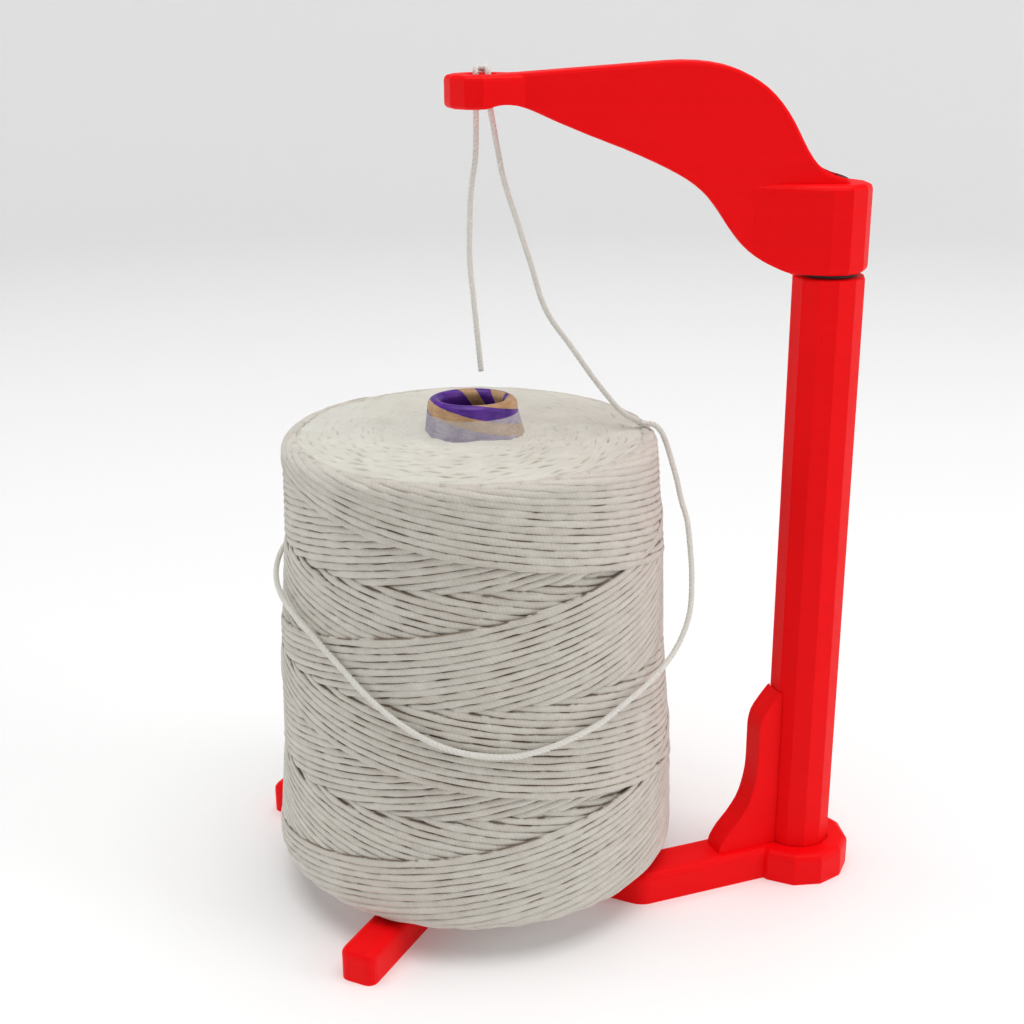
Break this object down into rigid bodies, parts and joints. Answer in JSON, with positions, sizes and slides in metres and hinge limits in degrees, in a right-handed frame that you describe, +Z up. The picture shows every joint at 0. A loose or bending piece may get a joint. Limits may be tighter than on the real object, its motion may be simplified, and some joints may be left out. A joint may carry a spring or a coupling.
{
  "type": "yarn cone holder",
  "caption": "Tabletop yarn cone holder: a cross-shaped foot carries a wound cone, and a curved head with a guide eye swivels on a faceted column beside it",
  "frame": {"origin": "on the underside of the cross, on the axis of the yarn cone", "axes": "+Z up, +X toward the column, +Y away from the camera of the picture"},
  "size_m": [0.2248, 0.1684, 0.2941],
  "materials": {
    "red_print": "satin printed plastic",
    "zinc_steel": "zinc plated",
    "brass_metal": "turned",
    "black_nylon": "plain",
    "black_steel": "black oxide",
    "striped_paper": "wound paper board with a spiral stripe",
    "raw_cotton": "twisted cotton yarn"
  },
  "bodies": {
    "stand": {"base_frame": "red_print", "column": "red_print", "cone_peg": "red_print", "column_screw": "zinc_steel", "foot_insert": "brass_metal", "pivot_insert": "brass_metal", "slip_washer": "black_nylon", "pivot_washer": "black_steel", "pivot_screw": "black_steel", "free_strand": "raw_cotton"},
    "head": {"head_arm": "red_print", "tail_strand": "raw_cotton"},
    "cone": {"paper_cone": "striped_paper", "yarn_package": "raw_cotton", "yarn_turns": "raw_cotton", "laid_strand": "raw_cotton"}
  },
  "joints": [
    {"name": "head_swivel", "type": "hinge", "parent": "stand", "child": "head", "pos_m": [0.121, 0, 0.24], "axis": [0, 0, 1], "continuous": true},
    {"name": "cone_spin", "type": "hinge", "parent": "stand", "child": "cone", "pos_m": [0, 0, 0.0123], "axis": [0, 0, 1], "continuous": true}
  ]
}
